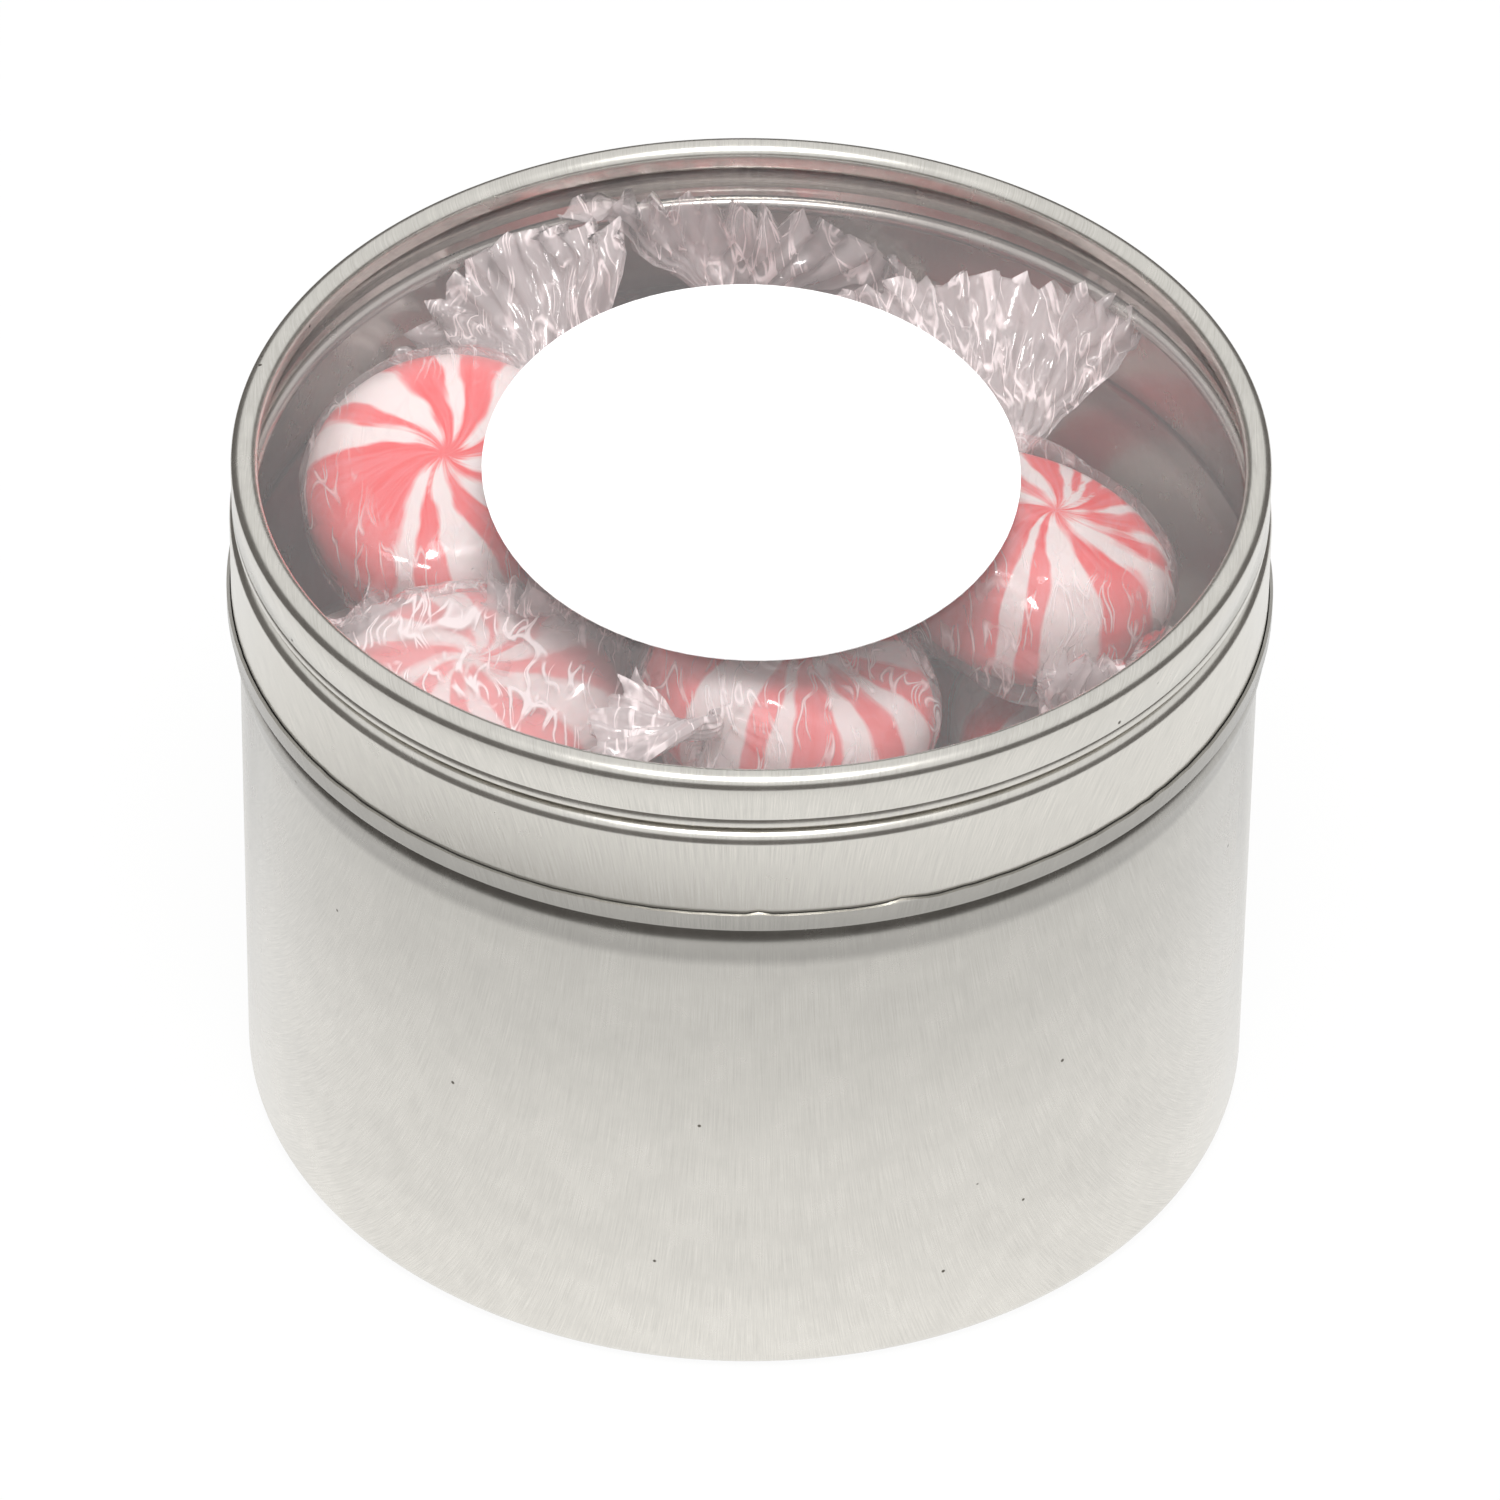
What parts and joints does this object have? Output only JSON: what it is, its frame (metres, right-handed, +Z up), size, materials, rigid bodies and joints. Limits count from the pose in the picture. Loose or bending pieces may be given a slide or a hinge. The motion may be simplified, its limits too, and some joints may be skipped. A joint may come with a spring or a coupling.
{
  "type": "window lid tin",
  "caption": "Deep round drawn tin with a slip-over two-tier lid that holds a clear window with a blank oval label, filled with wrapped pinwheel mints.",
  "frame": {"origin": "centre of the face that the tin stands on", "axes": "+Z up along the tin's axis; -Y towards the front, from where the picture is taken; +X to the right"},
  "size_m": [0.083, 0.083, 0.0612],
  "materials": {
    "tinplate": "satin, rolled grain",
    "clear_sheet": "clear, glossy",
    "label_paper": "smooth white label stock",
    "mint_sugar": "hard boiled sugar, red and white",
    "clear_film": "clear crinkled film"
  },
  "bodies": {
    "tin": {"tin_cup": "tinplate", "mint_1": "mint_sugar", "mint_2": "mint_sugar", "mint_3": "mint_sugar", "mint_4": "mint_sugar", "mint_5": "mint_sugar", "mint_6": "mint_sugar", "mint_7": "mint_sugar", "mint_8": "mint_sugar", "mint_9": "mint_sugar", "mint_10": "mint_sugar", "mint_11": "mint_sugar", "mint_12": "mint_sugar", "mint_13": "mint_sugar", "mint_14": "mint_sugar", "mint_15": "mint_sugar", "mint_16": "mint_sugar", "mint_17": "mint_sugar", "mint_18": "mint_sugar", "mint_19": "mint_sugar", "mint_20": "mint_sugar", "mint_21": "mint_sugar", "mint_22": "mint_sugar", "mint_23": "mint_sugar", "mint_24": "mint_sugar", "mint_25": "mint_sugar", "mint_26": "mint_sugar", "wrapper_1": "clear_film", "wrapper_2": "clear_film", "wrapper_3": "clear_film", "wrapper_4": "clear_film", "wrapper_5": "clear_film", "wrapper_6": "clear_film", "wrapper_7": "clear_film", "wrapper_8": "clear_film", "wrapper_9": "clear_film", "wrapper_10": "clear_film", "wrapper_11": "clear_film", "wrapper_12": "clear_film", "wrapper_13": "clear_film", "wrapper_14": "clear_film", "wrapper_15": "clear_film", "wrapper_16": "clear_film", "wrapper_17": "clear_film", "wrapper_18": "clear_film", "wrapper_19": "clear_film", "wrapper_20": "clear_film", "wrapper_21": "clear_film", "wrapper_22": "clear_film", "wrapper_23": "clear_film", "wrapper_24": "clear_film", "wrapper_25": "clear_film", "wrapper_26": "clear_film"},
    "lid": {"lid_ring": "tinplate", "window_disc": "clear_sheet", "label": "label_paper"}
  },
  "joints": [
    {"name": "lid_lift", "type": "slide", "parent": "tin", "child": "lid", "axis": [0, 0, 1], "range_m": [0, 0.03]}
  ]
}
